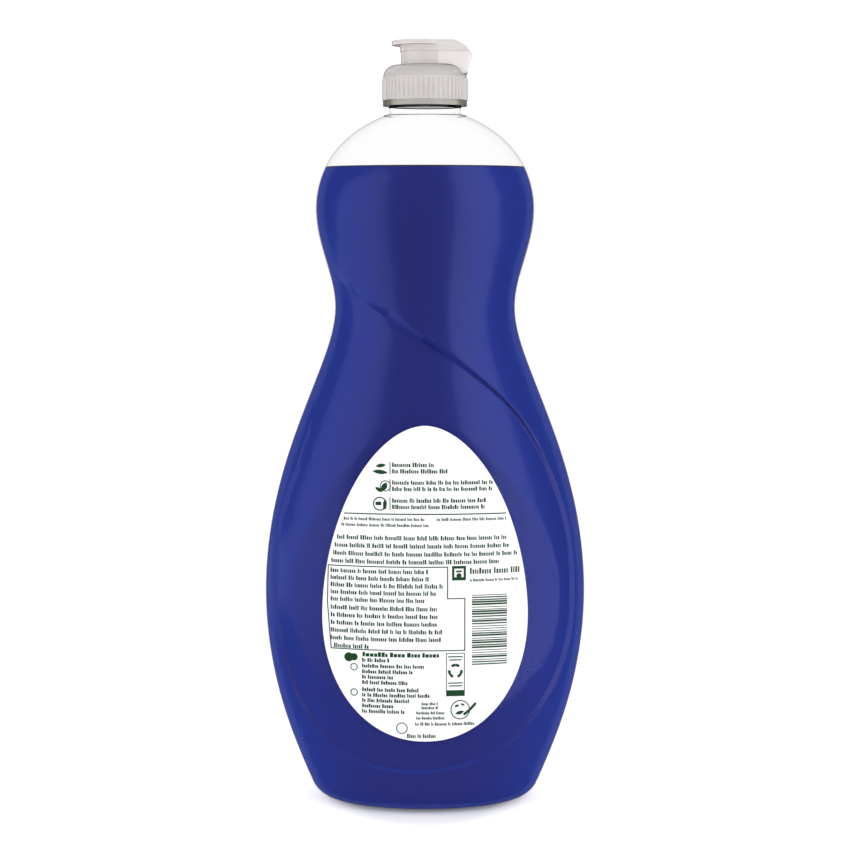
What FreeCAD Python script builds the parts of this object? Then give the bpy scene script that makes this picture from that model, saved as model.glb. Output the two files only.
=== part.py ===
import FreeCAD, Part
import math
import os

# A squeeze bottle of degreaser: a blown clear shell with a waist and a swoosh-shaped recessed panel on
# both faces, its liquid, a paper label, and a moulded screw closure with a flip-top lid.
# Millimetres. Z is up, the base rests on Z = 0, -Y is the labelled face, +X is the side of the lid's hinge.

# ---- bottle: overall shape ----
FOOT_HALF_WIDTH = 38.4
FOOT_HALF_DEPTH = 27.4
BELLY_HEIGHT = 78.5
BELLY_HALF_WIDTH = 57.35
BELLY_HALF_DEPTH = 38.6
WAIST_HEIGHT = 178.0
WAIST_HALF_WIDTH = 32.1
WAIST_HALF_DEPTH = 28.2
BULB_HEIGHT = 211.5
BULB_HALF_WIDTH = 38.65
BULB_HALF_DEPTH = 32.0
NECK_BASE_HEIGHT = 244.6

# How the outline runs between two landmarks, as (share of the height, share of the change in size)
FOOT_TO_BELLY_SHARES = ((0.10, 0.18), (0.39, 0.636))
BELLY_TO_WAIST_SHARES = ((0.467, 0.337), (0.769, 0.786))
WAIST_TO_BULB_SHARES = ((0.657, 0.769),)
BULB_TO_NECK_SHARES = ((0.40, 0.11), (0.72, 0.40), (0.90, 0.723))

# ---- bottle: walls, foot and neck ----
WALL = 0.8
HEEL_RADIUS = 5.2
CONTACT_RING_WIDTH = 5.0
PUSH_UP_RISE = 4.0
PUSH_UP_SLOPE_WIDTH = 9.0
NECK_RADIUS = 12.5
NECK_WALL = 1.7
FINISH_HEIGHT = 13.2

# ---- bottle: the recessed faces ----
RECESS_DEPTH = 1.2
RECESS_DEPTH_AT_SIDE = 0.15
SIDE_FADE_START = 104.0
SIDE_FADE_END = 142.0
PANEL_HALF_WIDTH = 60.0
PANEL_LOW_HEIGHT = 22.0
PANEL_LOW_HALF_DEPTH = 33.3
PANEL_HIGH_HEIGHT = 141.0
PANEL_HIGH_HALF_DEPTH = 31.8
PANEL_FLARE = 15.0

CUTTER_REACH = 60.0
CUTTER_OVERLAP = 1.0
CLEAR_OF_ALL = 300.0

# The swoosh round the recess on the -Y face, as (x, height); the far points lie off the bottle's side
SWOOSH = (
    (-46.0, 214.0),
    (-36.2, 202.5),
    (-31.0, 193.0),
    (-24.0, 185.6),
    (-11.4, 176.6),
    (1.4, 166.9),
    (17.4, 154.6),
    (33.0, 139.6),
    (44.0, 120.4),
    (51.4, 98.0),
    (53.1, 78.0),
    (50.3, 55.0),
    (40.9, 37.0),
    (24.5, 22.3),
    (0.0, 15.8),
    (-24.0, 19.3),
    (-42.0, 34.5),
    (-52.0, 60.0),
    (-54.3, 82.0),
    (-52.0, 103.0),
    (-46.0, 122.0),
    (-43.5, 138.0),
    (-46.0, 156.0),
    (-54.0, 186.0),
)

# ---- contents and label ----
FILL_HEIGHT = 226.1
LIQUID_CLEARANCE = 0.1
LABEL_WIDEST_HEIGHT = 71.0
LABEL_RISE = 66.4
LABEL_DROP = 43.3
LABEL_HALF_WIDTH = 35.7
LABEL_TOP_FULLNESS = 1.85
LABEL_FOOT_FULLNESS = 2.1
LABEL_THICKNESS = 0.15
LABEL_EDGE_POINTS = 32
LABEL_CLEARANCE = 0.08

# ---- closure: screw cap with its ribbed skirt, domed deck and spout ----
CAP_GAP = 2.6
CAP_BAND_HEIGHT = 2.0
CAP_BAND_RADIUS = 14.8
CAP_RIB_HEIGHT = 7.4
CAP_RIB_RADIUS = 15.1
CAP_RIB_DEPTH = 0.35
CAP_RIB_COUNT = 54
CAP_SHOULDER_RADIUS = 14.65
CAP_DOME_RADIUS = 4.2
CAP_SKIRT_CLEARANCE = 1.3
CAP_DECK_THICKNESS = 1.2
CAP_CORNER_CHAMFER = 1.4
CAP_DECK_ABOVE_LIP = 3.6
LINER_THICKNESS = 0.9
LINER_WIDTH = 2.4
LINER_OVERHANG = 0.4
LINER_CLEARANCE = 0.03
ORIFICE_RADIUS = 2.0
SPOUT_RADIUS = 3.8
SPOUT_RISE = 2.2
SPOUT_MOUTH_CHAMFER = 0.7

# ---- closure: flip-top lid ----
LID_HEIGHT = 8.4
LID_WALL = 1.0
LID_FRONT_RADIUS = 8.4
LID_SIDE_LENGTH = 4.6
LID_HINGE_HALF_WIDTH = 6.2
LID_DECK_CLEARANCE = 0.12
LID_BACK_OVERHANG = 1.9
LID_BACK_HEIGHT = 3.1
LID_SLOPE_LENGTH = 6.6
LID_SLOPE_BULGE = 0.65
LID_LEDGE_HEIGHT = 4.7
LID_LEDGE_WIDTH = 0.35
LID_TOP_THICKNESS = 1.5
LID_RIM_RADIUS = 10.4
LID_RIM_OFFSET = -1.2
LID_PLUG_CLEARANCE = 0.15
LID_PLUG_DEPTH = 1.2
LID_PLUG_FLARE = 0.75
HINGE_DROP = 3.1
HINGE_CLEARANCE = 0.15

Y_AXIS = FreeCAD.Vector(0, 1, 0)
Z_AXIS = FreeCAD.Vector(0, 0, 1)
ORIGIN = FreeCAD.Vector(0, 0, 0)

LIP_HEIGHT = NECK_BASE_HEIGHT + FINISH_HEIGHT
BORE_RADIUS = NECK_RADIUS - NECK_WALL


# ---- the bottle's outline as one curve: X holds the half width, Y the half depth, Z the height ----

def stations():
    landmarks = [
        (FOOT_HALF_WIDTH, FOOT_HALF_DEPTH, 0.0),
        (BELLY_HALF_WIDTH, BELLY_HALF_DEPTH, BELLY_HEIGHT),
        (WAIST_HALF_WIDTH, WAIST_HALF_DEPTH, WAIST_HEIGHT),
        (BULB_HALF_WIDTH, BULB_HALF_DEPTH, BULB_HEIGHT),
        (NECK_RADIUS, NECK_RADIUS, NECK_BASE_HEIGHT),
    ]
    runs = (FOOT_TO_BELLY_SHARES, BELLY_TO_WAIST_SHARES, WAIST_TO_BULB_SHARES, BULB_TO_NECK_SHARES)
    points = [FreeCAD.Vector(*landmarks[0])]
    for low, high, run in zip(landmarks, landmarks[1:], runs):
        for rise, change in run:
            width = low[0] + change * (high[0] - low[0])
            depth = low[1] + change * (high[1] - low[1])
            points.append(FreeCAD.Vector(width, depth, low[2] + rise * (high[2] - low[2])))
        points.append(FreeCAD.Vector(*high))
    return points


STATIONS = stations()
OUTLINE = Part.BSplineCurve()
OUTLINE.interpolate(Points=STATIONS, Parameters=[point.z for point in STATIONS])


def half_sizes(height, inset):
    """Half width and half depth at a height, for a surface that lies inset inside the outer one."""
    height = min(max(height, 0.0), NECK_BASE_HEIGHT)
    place = OUTLINE.value(height)
    slope = OUTLINE.getD1(height)[1]
    half_width = place.x - inset * math.hypot(1, slope.x / slope.z)
    half_depth = place.y - inset * math.hypot(1, slope.y / slope.z)
    return half_width, half_depth


def side_step(height):
    """How far the recess lies inside the outer surface at the -X side: it fades out above the flank."""
    share = (height - SIDE_FADE_START) / (SIDE_FADE_END - SIDE_FADE_START)
    share = min(max(share, 0.0), 1.0)
    blend = share * share * (3 - 2 * share)
    return RECESS_DEPTH + (RECESS_DEPTH_AT_SIDE - RECESS_DEPTH) * blend


def recess_section(height):
    """Half width, half depth and X shift of the recessed surface at a height."""
    half_width, half_depth = half_sizes(height, 0.0)
    left = side_step(height)
    shift = (left - RECESS_DEPTH) / 2
    return half_width - (left + RECESS_DEPTH) / 2, half_depth - RECESS_DEPTH, shift


def panel_half_depth(height, inset):
    slope = (PANEL_HIGH_HALF_DEPTH - PANEL_LOW_HALF_DEPTH) / (PANEL_HIGH_HEIGHT - PANEL_LOW_HEIGHT)
    return PANEL_LOW_HALF_DEPTH + slope * (height - PANEL_LOW_HEIGHT) - inset


def section_poles(curve, shift_curve):
    """Rows of poles that sweep an ellipse along the outline: every horizontal section is a true ellipse."""
    corner = math.sqrt(0.5)
    circle = ((1, 0), (1, 1), (0, 1), (-1, 1), (-1, 0), (-1, -1), (0, -1), (1, -1), (1, 0))
    weights = (1, corner, 1, corner, 1, corner, 1, corner, 1)
    sizes = curve.getPoles()
    shifts = shift_curve.getPoles()
    poles = []
    for across, deep in circle:
        row = [
            FreeCAD.Vector(shift.x + size.x * across, size.y * deep, size.z)
            for size, shift in zip(sizes, shifts)
        ]
        poles.append(row)
    return poles, [[weight] * len(sizes) for weight in weights]


def elliptical_solid(rows):
    """A closed body through elliptical sections, given as rows of (half width, half depth, height, X shift)."""
    heights = [row[2] for row in rows]
    curve = Part.BSplineCurve()
    curve.interpolate(Points=[FreeCAD.Vector(*row[:3]) for row in rows], Parameters=heights)
    shift_curve = Part.BSplineCurve()
    shift_curve.interpolate(Points=[FreeCAD.Vector(row[3], 0, row[2]) for row in rows], Parameters=heights)
    poles, weights = section_poles(curve, shift_curve)
    surface = Part.BSplineSurface()
    surface.buildFromPolesMultsKnots(
        poles, (3, 2, 2, 2, 3), curve.getMultiplicities(), (0, 1, 2, 3, 4), curve.getKnots(),
        False, False, 2, curve.Degree, weights,
    )
    side = surface.toShape()
    ends = [edge for edge in side.Edges if edge.isClosed() and edge.BoundBox.ZLength < 1e-6]
    shell = Part.Shell([side] + [Part.Face(Part.Wire([edge])) for edge in ends])
    shell.sewShape()
    return Part.Solid(shell)


def envelope():
    """The outer body from foot to neck base as if both faces were plain."""
    return elliptical_solid([(point.x, point.y, point.z, 0.0) for point in STATIONS])


def recessed_envelope():
    """The body with the recess all round, cut back further where the label panel runs straight."""
    rows = []
    for point in STATIONS[:-1]:
        half_width, half_depth, shift = recess_section(point.z)
        rows.append((half_width, half_depth, point.z, shift))
    return elliptical_solid(rows).common(panel_solid(0.0))


def cavity(inset):
    """The inner form at an inset: it follows the recess up to the waist and the plain body above it."""
    rows = []
    for point in STATIONS[:-1]:
        half_width, half_depth = half_sizes(point.z, inset)
        recess = RECESS_DEPTH if point.z <= WAIST_HEIGHT else 0.0
        rows.append((half_width - recess, half_depth - recess, point.z, 0.0))
    bore = BORE_RADIUS - inset + WALL
    rows.append((bore, bore, NECK_BASE_HEIGHT, 0.0))
    return elliptical_solid(rows).common(panel_solid(inset))


def panel_wire(height, inset, flare=0.0):
    centre = FreeCAD.Vector(0, 0, height)
    tip = FreeCAD.Vector(PANEL_HALF_WIDTH + flare - inset, 0, height)
    side = FreeCAD.Vector(0, panel_half_depth(height, inset) + flare, height)
    return Part.Wire(Part.Ellipse(tip, side, centre).toShape())


def panel_solid(inset):
    """The straight-walled body whose faces carry the labels: it tapers slightly, and flares clear above."""
    end = (PANEL_HIGH_HEIGHT + WAIST_HEIGHT) / 2
    return Part.makeLoft([
        panel_wire(-1.0, inset),
        panel_wire(end, inset),
        panel_wire(WAIST_HEIGHT, inset, PANEL_FLARE),
        panel_wire(NECK_BASE_HEIGHT, inset, PANEL_FLARE),
    ], True, True)


# ---- the swoosh: a step down from the outer surface to the recess on each face ----

def swoosh_cutter():
    """What the mould's face leaves out on the -Y side; it starts a little behind the widest line."""
    curve = Part.BSplineCurve()
    corners = [FreeCAD.Vector(x, CUTTER_OVERLAP, height) for x, height in SWOOSH]
    curve.interpolate(Points=corners, PeriodicFlag=True)
    outline = Part.Face(Part.Wire([curve.toShape()]))
    return outline.extrude(Y_AXIS * -CUTTER_REACH).cut(recessed_envelope())


def skin():
    """The whole outer form from foot to neck base; the two faces are alike, half a turn apart."""
    front = swoosh_cutter()
    back = front.copy()
    back.rotate(ORIGIN, Z_AXIS, 180)
    return envelope().cut(front).cut(back)


# ---- the bottle and what it holds ----

def half_space(height, side):
    """A block that holds everything above a height, or everything below it where side is -1."""
    foot = height if side > 0 else height - CLEAR_OF_ALL
    corner = FreeCAD.Vector(-CLEAR_OF_ALL / 2, -CLEAR_OF_ALL / 2, foot)
    return Part.makeBox(CLEAR_OF_ALL, CLEAR_OF_ALL, CLEAR_OF_ALL, corner)


def ellipse_face(half_width, half_depth, height):
    centre = FreeCAD.Vector(0, 0, height)
    tip = FreeCAD.Vector(half_width, 0, height)
    side = FreeCAD.Vector(0, half_depth, height)
    return Part.Face(Part.Wire(Part.Ellipse(tip, side, centre).toShape()))


def push_up(grow):
    """The hollow under the foot, inside the ring that the bottle stands on."""
    inset = HEEL_RADIUS + CONTACT_RING_WIDTH - grow
    low = ellipse_face(FOOT_HALF_WIDTH - inset, FOOT_HALF_DEPTH - inset, 0)
    inset += PUSH_UP_SLOPE_WIDTH
    high = ellipse_face(FOOT_HALF_WIDTH - inset, FOOT_HALF_DEPTH - inset, PUSH_UP_RISE + grow)
    return Part.makeLoft([low.OuterWire, high.OuterWire], True, True)


def foot_edges(shape, height):
    """The outermost edges at the foot's plane."""
    level = []
    for edge in shape.Edges:
        box = edge.BoundBox
        if abs(box.ZMin - height) < 1e-3 and box.ZLength < 1e-3:
            level.append(edge)
    widest = max(edge.BoundBox.XLength for edge in level)
    return [edge for edge in level if edge.BoundBox.XLength > widest - 1e-3]


def footed(body, inset):
    """A form of the body with its foot: cut level, rounded at the heel and hollowed underneath."""
    if inset > 0:
        body = body.cut(half_space(inset, -1))
    body = body.makeFillet(HEEL_RADIUS - inset, foot_edges(body, inset))
    return body.cut(push_up(inset))


def bottle():
    outer = footed(skin(), 0.0)
    inner = footed(cavity(WALL), WALL)
    neck = Part.makeCylinder(NECK_RADIUS, FINISH_HEIGHT, FreeCAD.Vector(0, 0, NECK_BASE_HEIGHT))
    bore = Part.makeCylinder(BORE_RADIUS, FINISH_HEIGHT, FreeCAD.Vector(0, 0, NECK_BASE_HEIGHT))
    return outer.cut(inner).fuse(neck.cut(bore)).removeSplitter()


def liquid():
    inset = WALL + LIQUID_CLEARANCE
    return footed(cavity(inset), inset).cut(half_space(FILL_HEIGHT, 1))


def label_point(angle):
    """A point of the egg-shaped label's edge; a fullness of 2 would make an ellipse."""
    up = math.sin(angle) >= 0
    fullness = LABEL_TOP_FULLNESS if up else LABEL_FOOT_FULLNESS
    reach = LABEL_RISE if up else LABEL_DROP
    x = LABEL_HALF_WIDTH * math.copysign(abs(math.cos(angle)) ** (2 / fullness), math.cos(angle))
    rise = reach * math.copysign(abs(math.sin(angle)) ** (2 / fullness), math.sin(angle))
    return FreeCAD.Vector(x, 0, LABEL_WIDEST_HEIGHT + rise)


def back_label():
    """A thin patch wrapped on the straight panel."""
    curve = Part.BSplineCurve()
    points = [label_point(2 * math.pi * step / LABEL_EDGE_POINTS) for step in range(LABEL_EDGE_POINTS)]
    curve.interpolate(Points=points, PeriodicFlag=True)
    patch = Part.Face(Part.Wire([curve.toShape()])).extrude(Y_AXIS * -CUTTER_REACH)
    outer = panel_solid(-LABEL_CLEARANCE - LABEL_THICKNESS)
    return patch.common(outer).cut(panel_solid(-LABEL_CLEARANCE))


# ---- closure ----

def turned(points):
    """A solid of revolution about Z from a closed profile of (radius, height) corners."""
    corners = [FreeCAD.Vector(radius, 0, height) for radius, height in points]
    return Part.Face(Part.makePolygon(corners + corners[:1])).revolve(ORIGIN, Z_AXIS, 360)


SKIRT_FOOT = NECK_BASE_HEIGHT + CAP_GAP
RIBS_FOOT = SKIRT_FOOT + CAP_BAND_HEIGHT
RIBS_TOP = RIBS_FOOT + CAP_RIB_HEIGHT
DECK_HEIGHT = LIP_HEIGHT + CAP_DECK_ABOVE_LIP
LINER_SEAT = LIP_HEIGHT + LINER_THICKNESS + 2 * LINER_CLEARANCE
LINER_OUTER_RADIUS = NECK_RADIUS + LINER_OVERHANG
SPOUT_TOP = DECK_HEIGHT + SPOUT_RISE


def domed_form(grow, foot):
    """The cap's shoulder and deck as a solid of revolution, grown by a clearance."""
    radius = CAP_SHOULDER_RADIUS + grow
    round_radius = CAP_DOME_RADIUS + grow
    top = DECK_HEIGHT + grow
    low = FreeCAD.Vector(radius, 0, top - round_radius)
    high = FreeCAD.Vector(radius - round_radius, 0, top)
    centre = FreeCAD.Vector(radius - round_radius, 0, top - round_radius)
    middle = centre + (low - centre + high - centre).normalize() * round_radius
    edges = [
        Part.makeLine(FreeCAD.Vector(0, 0, foot), FreeCAD.Vector(radius, 0, foot)),
        Part.makeLine(FreeCAD.Vector(radius, 0, foot), low),
        Part.Arc(low, middle, high).toShape(),
        Part.makeLine(high, FreeCAD.Vector(0, 0, top)),
        Part.makeLine(FreeCAD.Vector(0, 0, top), FreeCAD.Vector(0, 0, foot)),
    ]
    return Part.Face(Part.Wire(edges)).revolve(ORIGIN, Z_AXIS, 360)


def ribbed_ring():
    """The grip: upright ribs with tapered flanks round the skirt."""
    pitch = 2 * math.pi / CAP_RIB_COUNT
    root = CAP_RIB_RADIUS - CAP_RIB_DEPTH
    corners = []
    for rib in range(CAP_RIB_COUNT):
        for share, radius in ((0.0, root), (0.3, root), (0.45, CAP_RIB_RADIUS), (0.85, CAP_RIB_RADIUS)):
            angle = pitch * (rib + share)
            corners.append(FreeCAD.Vector(radius * math.cos(angle), radius * math.sin(angle), RIBS_FOOT))
    return Part.Face(Part.makePolygon(corners + corners[:1])).extrude(Z_AXIS * CAP_RIB_HEIGHT)


def cap_base():
    skirt_inner = NECK_RADIUS + CAP_SKIRT_CLEARANCE
    body = domed_form(0.0, RIBS_TOP - CAP_RIB_HEIGHT / 2)
    band = Part.makeCylinder(CAP_BAND_RADIUS, CAP_BAND_HEIGHT, FreeCAD.Vector(0, 0, SKIRT_FOOT))
    spout = Part.makeCylinder(SPOUT_RADIUS, SPOUT_RISE + CAP_DECK_THICKNESS / 2,
                              FreeCAD.Vector(0, 0, DECK_HEIGHT - CAP_DECK_THICKNESS / 2))
    solid = ribbed_ring().fuse(body).fuse(band).fuse(spout)
    seat_inner = LINER_OUTER_RADIUS - LINER_WIDTH - LINER_CLEARANCE
    seat_outer = LINER_OUTER_RADIUS + LINER_CLEARANCE
    inside = turned([
        (0, SKIRT_FOOT),
        (skirt_inner, SKIRT_FOOT),
        (skirt_inner, LINER_SEAT - CAP_CORNER_CHAMFER),
        (seat_outer, LINER_SEAT),
        (seat_inner, LINER_SEAT),
        (seat_inner, DECK_HEIGHT - CAP_DECK_THICKNESS),
        (0, DECK_HEIGHT - CAP_DECK_THICKNESS),
    ])
    mouth = turned([
        (0, DECK_HEIGHT - CAP_DECK_THICKNESS),
        (ORIFICE_RADIUS, DECK_HEIGHT - CAP_DECK_THICKNESS),
        (ORIFICE_RADIUS, SPOUT_TOP - SPOUT_MOUTH_CHAMFER),
        (ORIFICE_RADIUS + SPOUT_MOUTH_CHAMFER, SPOUT_TOP),
        (0, SPOUT_TOP),
    ])
    return solid.cut(inside).cut(mouth).removeSplitter()


def cap_liner():
    """The sealing washer between the bottle's lip and the cap."""
    foot = FreeCAD.Vector(0, 0, LIP_HEIGHT + LINER_CLEARANCE)
    disc = Part.makeCylinder(LINER_OUTER_RADIUS, LINER_THICKNESS, foot)
    return disc.cut(Part.makeCylinder(LINER_OUTER_RADIUS - LINER_WIDTH, LINER_THICKNESS, foot))


# ---- lid ----

HINGE_HEIGHT = DECK_HEIGHT - HINGE_DROP
DOME_AT_HINGE = CAP_SHOULDER_RADIUS - CAP_DOME_RADIUS + math.sqrt(
    CAP_DOME_RADIUS ** 2 - (HINGE_HEIGHT - DECK_HEIGHT + CAP_DOME_RADIUS) ** 2)
HINGE_X = DOME_AT_HINGE + HINGE_CLEARANCE
LID_TOP = DECK_HEIGHT + LID_HEIGHT
LID_BACK_X = HINGE_X + LID_BACK_OVERHANG


def lid_plan(grow):
    """The lid seen from above: round at the thumb, straight sides, narrower at the hinge; as a tall prism."""
    radius = LID_FRONT_RADIUS + grow
    back = LID_HINGE_HALF_WIDTH + grow
    foot = DECK_HEIGHT - 2 * HINGE_DROP
    reach = LID_BACK_X + 1
    front_left = FreeCAD.Vector(0, -radius, foot)
    front_right = FreeCAD.Vector(0, radius, foot)
    arc = Part.Arc(front_right, FreeCAD.Vector(-radius, 0, foot), front_left).toShape()
    rest = Part.makePolygon([
        front_left,
        FreeCAD.Vector(LID_SIDE_LENGTH, -radius, foot),
        FreeCAD.Vector(reach, -back, foot),
        FreeCAD.Vector(reach, back, foot),
        FreeCAD.Vector(LID_SIDE_LENGTH, radius, foot),
        front_right,
    ])
    return Part.Face(Part.Wire([arc] + rest.Edges)).extrude(Z_AXIS * (LID_TOP - foot))


def lid_profile(inset, top_inset):
    """The lid seen from the side, as a wide prism: a flat top that slopes to the back above the hinge."""
    top = LID_TOP - top_inset
    back = LID_BACK_X - inset
    width = 3 * LID_FRONT_RADIUS
    front_x = -2 * LID_FRONT_RADIUS
    slope_start = FreeCAD.Vector(LID_BACK_X - LID_SLOPE_LENGTH - inset / 2, -width / 2, top)
    extreme = FreeCAD.Vector(back, -width / 2, DECK_HEIGHT + LID_BACK_HEIGHT)
    bulge = (slope_start + extreme) / 2 + FreeCAD.Vector(LID_SLOPE_BULGE, 0, LID_SLOPE_BULGE)
    hinge = FreeCAD.Vector(HINGE_X - inset, -width / 2, HINGE_HEIGHT)
    under = FreeCAD.Vector(front_x, -width / 2, HINGE_HEIGHT)
    corner = FreeCAD.Vector(front_x, -width / 2, top)
    edges = [
        Part.makeLine(corner, slope_start),
        Part.Arc(slope_start, bulge, extreme).toShape(),
        Part.makeLine(extreme, hinge),
        Part.makeLine(hinge, under),
        Part.makeLine(under, corner),
    ]
    return Part.Face(Part.Wire(edges)).extrude(Y_AXIS * width)


def flip_lid():
    ledge = DECK_HEIGHT + LID_LEDGE_HEIGHT
    lower = lid_plan(0.0).common(lid_profile(0.0, 0.0))
    upper = lid_plan(LID_LEDGE_WIDTH).common(lid_profile(0.0, 0.0))
    upper = upper.cut(half_space(ledge, -1))
    rim_place = FreeCAD.Vector(LID_RIM_OFFSET, 0, LID_TOP - LID_TOP_THICKNESS)
    rim = Part.makeCylinder(LID_RIM_RADIUS, LID_TOP_THICKNESS, rim_place)
    inside = lid_plan(-LID_WALL).common(lid_profile(LID_WALL + LID_LEDGE_WIDTH, LID_TOP_THICKNESS))
    shell = lower.fuse(upper).fuse(rim).cut(inside)
    plug_foot = SPOUT_TOP - LID_PLUG_DEPTH
    tip = ORIFICE_RADIUS - LID_PLUG_CLEARANCE - LID_PLUG_DEPTH / 2
    stem = ORIFICE_RADIUS + SPOUT_MOUTH_CHAMFER
    plug = turned([
        (0, plug_foot),
        (tip, plug_foot),
        (tip + LID_PLUG_DEPTH * LID_PLUG_FLARE, SPOUT_TOP),
        (tip + LID_PLUG_DEPTH * LID_PLUG_FLARE, SPOUT_TOP + LID_PLUG_CLEARANCE),
        (stem, SPOUT_TOP + LID_PLUG_CLEARANCE),
        (stem, LID_TOP - LID_TOP_THICKNESS / 2),
        (0, LID_TOP - LID_TOP_THICKNESS / 2),
    ])
    scribe = domed_form(LID_DECK_CLEARANCE, DECK_HEIGHT - 3 * HINGE_DROP)
    return shell.cut(scribe).fuse(plug).removeSplitter()


PARTS = {
    "bottle": bottle,
    "liquid": liquid,
    "back_label": back_label,
    "cap_base": cap_base,
    "cap_liner": cap_liner,
    "flip_lid": flip_lid,
}

os.makedirs("parts", exist_ok=True)
for name, make in PARTS.items():
    make().exportStep(f"parts/{name}.step")
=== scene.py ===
import math

import bpy
import numpy as np
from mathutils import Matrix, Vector
from mathutils.geometry import delaunay_2d_cdt


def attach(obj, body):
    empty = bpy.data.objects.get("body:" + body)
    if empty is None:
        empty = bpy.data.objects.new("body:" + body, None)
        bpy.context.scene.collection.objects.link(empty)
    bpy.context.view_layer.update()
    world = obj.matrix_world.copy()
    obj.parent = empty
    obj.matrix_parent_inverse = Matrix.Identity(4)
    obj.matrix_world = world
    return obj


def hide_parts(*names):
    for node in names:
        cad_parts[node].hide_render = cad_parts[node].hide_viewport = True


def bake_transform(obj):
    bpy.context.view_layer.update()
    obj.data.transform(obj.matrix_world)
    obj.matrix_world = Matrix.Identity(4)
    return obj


# Looks for the degreaser bottle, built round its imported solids. Sizes below are millimetres, in the part's
# own frame; MM turns them into the scene's metres. -Y is the labelled face, +X the side of the lid's hinge.

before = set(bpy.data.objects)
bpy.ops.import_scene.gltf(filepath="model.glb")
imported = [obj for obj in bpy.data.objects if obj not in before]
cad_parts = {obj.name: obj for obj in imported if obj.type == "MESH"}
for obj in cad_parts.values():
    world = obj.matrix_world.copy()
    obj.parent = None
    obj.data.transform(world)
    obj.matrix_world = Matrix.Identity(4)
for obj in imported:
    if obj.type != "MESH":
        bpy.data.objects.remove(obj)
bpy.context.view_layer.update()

MM = 0.001

# ---- the body's outline: landmarks from the foot up, as (half width, half depth, height) ----
FOOT = (38.4, 27.4, 0.0)
BELLY = (57.35, 38.6, 78.5)
WAIST = (32.1, 28.2, 178.0)
BULB = (38.65, 32.0, 211.5)
NECK_BASE = 244.6
NECK_RADIUS = 12.5

# How the outline runs up to each landmark, as (share of the height, share of the change in size)
RUNS = (
    (BELLY, ((0.10, 0.18), (0.39, 0.636))),
    (WAIST, ((0.467, 0.337), (0.769, 0.786))),
    (BULB, ((0.657, 0.769),)),
    ((NECK_RADIUS, NECK_RADIUS, NECK_BASE), ((0.40, 0.11), (0.72, 0.40), (0.90, 0.723))),
)
WALL = 0.8
HEEL_RADIUS = 9.5
HEEL_STEPS = 9
CONTACT_RING_WIDTH = 5.0
PUSH_UP_RISE = 4.0
PUSH_UP_SLOPE_WIDTH = 9.0
NECK_WALL = 1.7
LIP = 257.8

# ---- the recessed faces: the swoosh's crest as (x, height, width of the slope inside it) ----
RECESS = 1.2
RECESS_AT_SIDE = 0.15
SIDE_FADE = (104.0, 142.0)
SEAM_FADE = math.radians(14)
SWOOSH = (
    (-46.0, 214.0, 2.0), (-36.4, 203.0, 2.4), (-31.8, 194.4, 3.6), (-24.0, 188.0, 5.2),
    (-10.7, 179.2, 5.4), (2.0, 168.2, 3.0), (17.6, 155.0, 1.0), (33.1, 140.0, 0.7),
    (44.2, 120.5, 0.75), (51.4, 98.0, 0.9), (53.1, 78.0, 1.1), (50.3, 55.0, 1.1),
    (40.9, 37.0, 1.1), (24.5, 22.3, 1.1), (0.0, 15.8, 1.1), (-24.0, 19.3, 1.1),
    (-42.0, 34.5, 1.1), (-52.0, 60.0, 1.1), (-54.3, 82.0, 1.1), (-52.0, 103.0, 1.2),
    (-46.0, 122.0, 2.0), (-43.5, 138.0, 4.0), (-46.0, 156.0, 6.0), (-52.0, 186.0, 4.0),
)
PANEL_HALF_WIDTH = 60.0
PANEL_LOW = (22.0, 33.3)
PANEL_HIGH = (141.0, 31.8)
PANEL_SLOPE = (PANEL_HIGH[1] - PANEL_LOW[1]) / (PANEL_HIGH[0] - PANEL_LOW[0])
PANEL_TOP = 159.0
PANEL_TOP_BEND = 4.0
PANEL_BLEND = 0.25
EDGE_ROUND = 0.28
STRAIGHT_SLOPE_WIDTH = 1.4
CURVED_SLOPE_POWER = 3.2
GROOVE_DEPTH = 0.09
GROOVE_PLACE = 0.3
GROOVE_WIDTH = 0.35

# ---- contents and label ----
FILL_HEIGHT = 226.1
LIQUID_INSET = 0.3
LABEL_WIDEST_HEIGHT = 71.0
LABEL_RISE = 66.4
LABEL_DROP = 43.3
LABEL_HALF_WIDTH = 35.7
LABEL_TOP_FULLNESS = 1.85
LABEL_FOOT_FULLNESS = 2.1

# ---- mesh fineness ----
GRID = 2.3
STRIP_STEP = 1.6
CREST_STEP = 0.8
POINTS_AT_ONCE = 2000


# ---- curves ----

def stations():
    """Rows of (half width, half depth, height) at the landmarks and between them."""
    rows = [np.array(FOOT)]
    for landmark, shares in RUNS:
        change = np.array(landmark) - rows[-1]
        foot = rows[-1]
        rows += [foot + change * (size, size, rise) for rise, size in shares]
        rows.append(np.array(landmark))
    return np.array(rows)


STATION = stations()
HEIGHTS = STATION[:, 2]


def station_slopes(values):
    """Slopes of the cubic spline through values at the stations; its ends follow the cubics nearest them."""
    count = len(HEIGHTS)
    gaps = np.diff(HEIGHTS)
    rise = np.diff(values) / gaps
    matrix = np.eye(count)
    right = np.zeros(count)
    right[0] = np.polyfit(HEIGHTS[:4] - HEIGHTS[0], values[:4], 3)[2]
    right[-1] = np.polyfit(HEIGHTS[-4:] - HEIGHTS[-1], values[-4:], 3)[2]
    for i in range(1, count - 1):
        matrix[i, i - 1:i + 2] = gaps[i], 2 * (gaps[i - 1] + gaps[i]), gaps[i - 1]
        right[i] = 3 * (gaps[i] * rise[i - 1] + gaps[i - 1] * rise[i])
    return np.linalg.solve(matrix, right)


def cubic(low, high, start, end, t):
    """Value and slope, at share t, of the cubic from low to high that starts and ends at the given slopes."""
    turn = 2 * (low - high) + start + end
    lean = 3 * (high - low) - 2 * start - end
    return low + t * (start + t * (lean + t * turn)), start + t * (2 * lean + 3 * t * turn)


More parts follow.
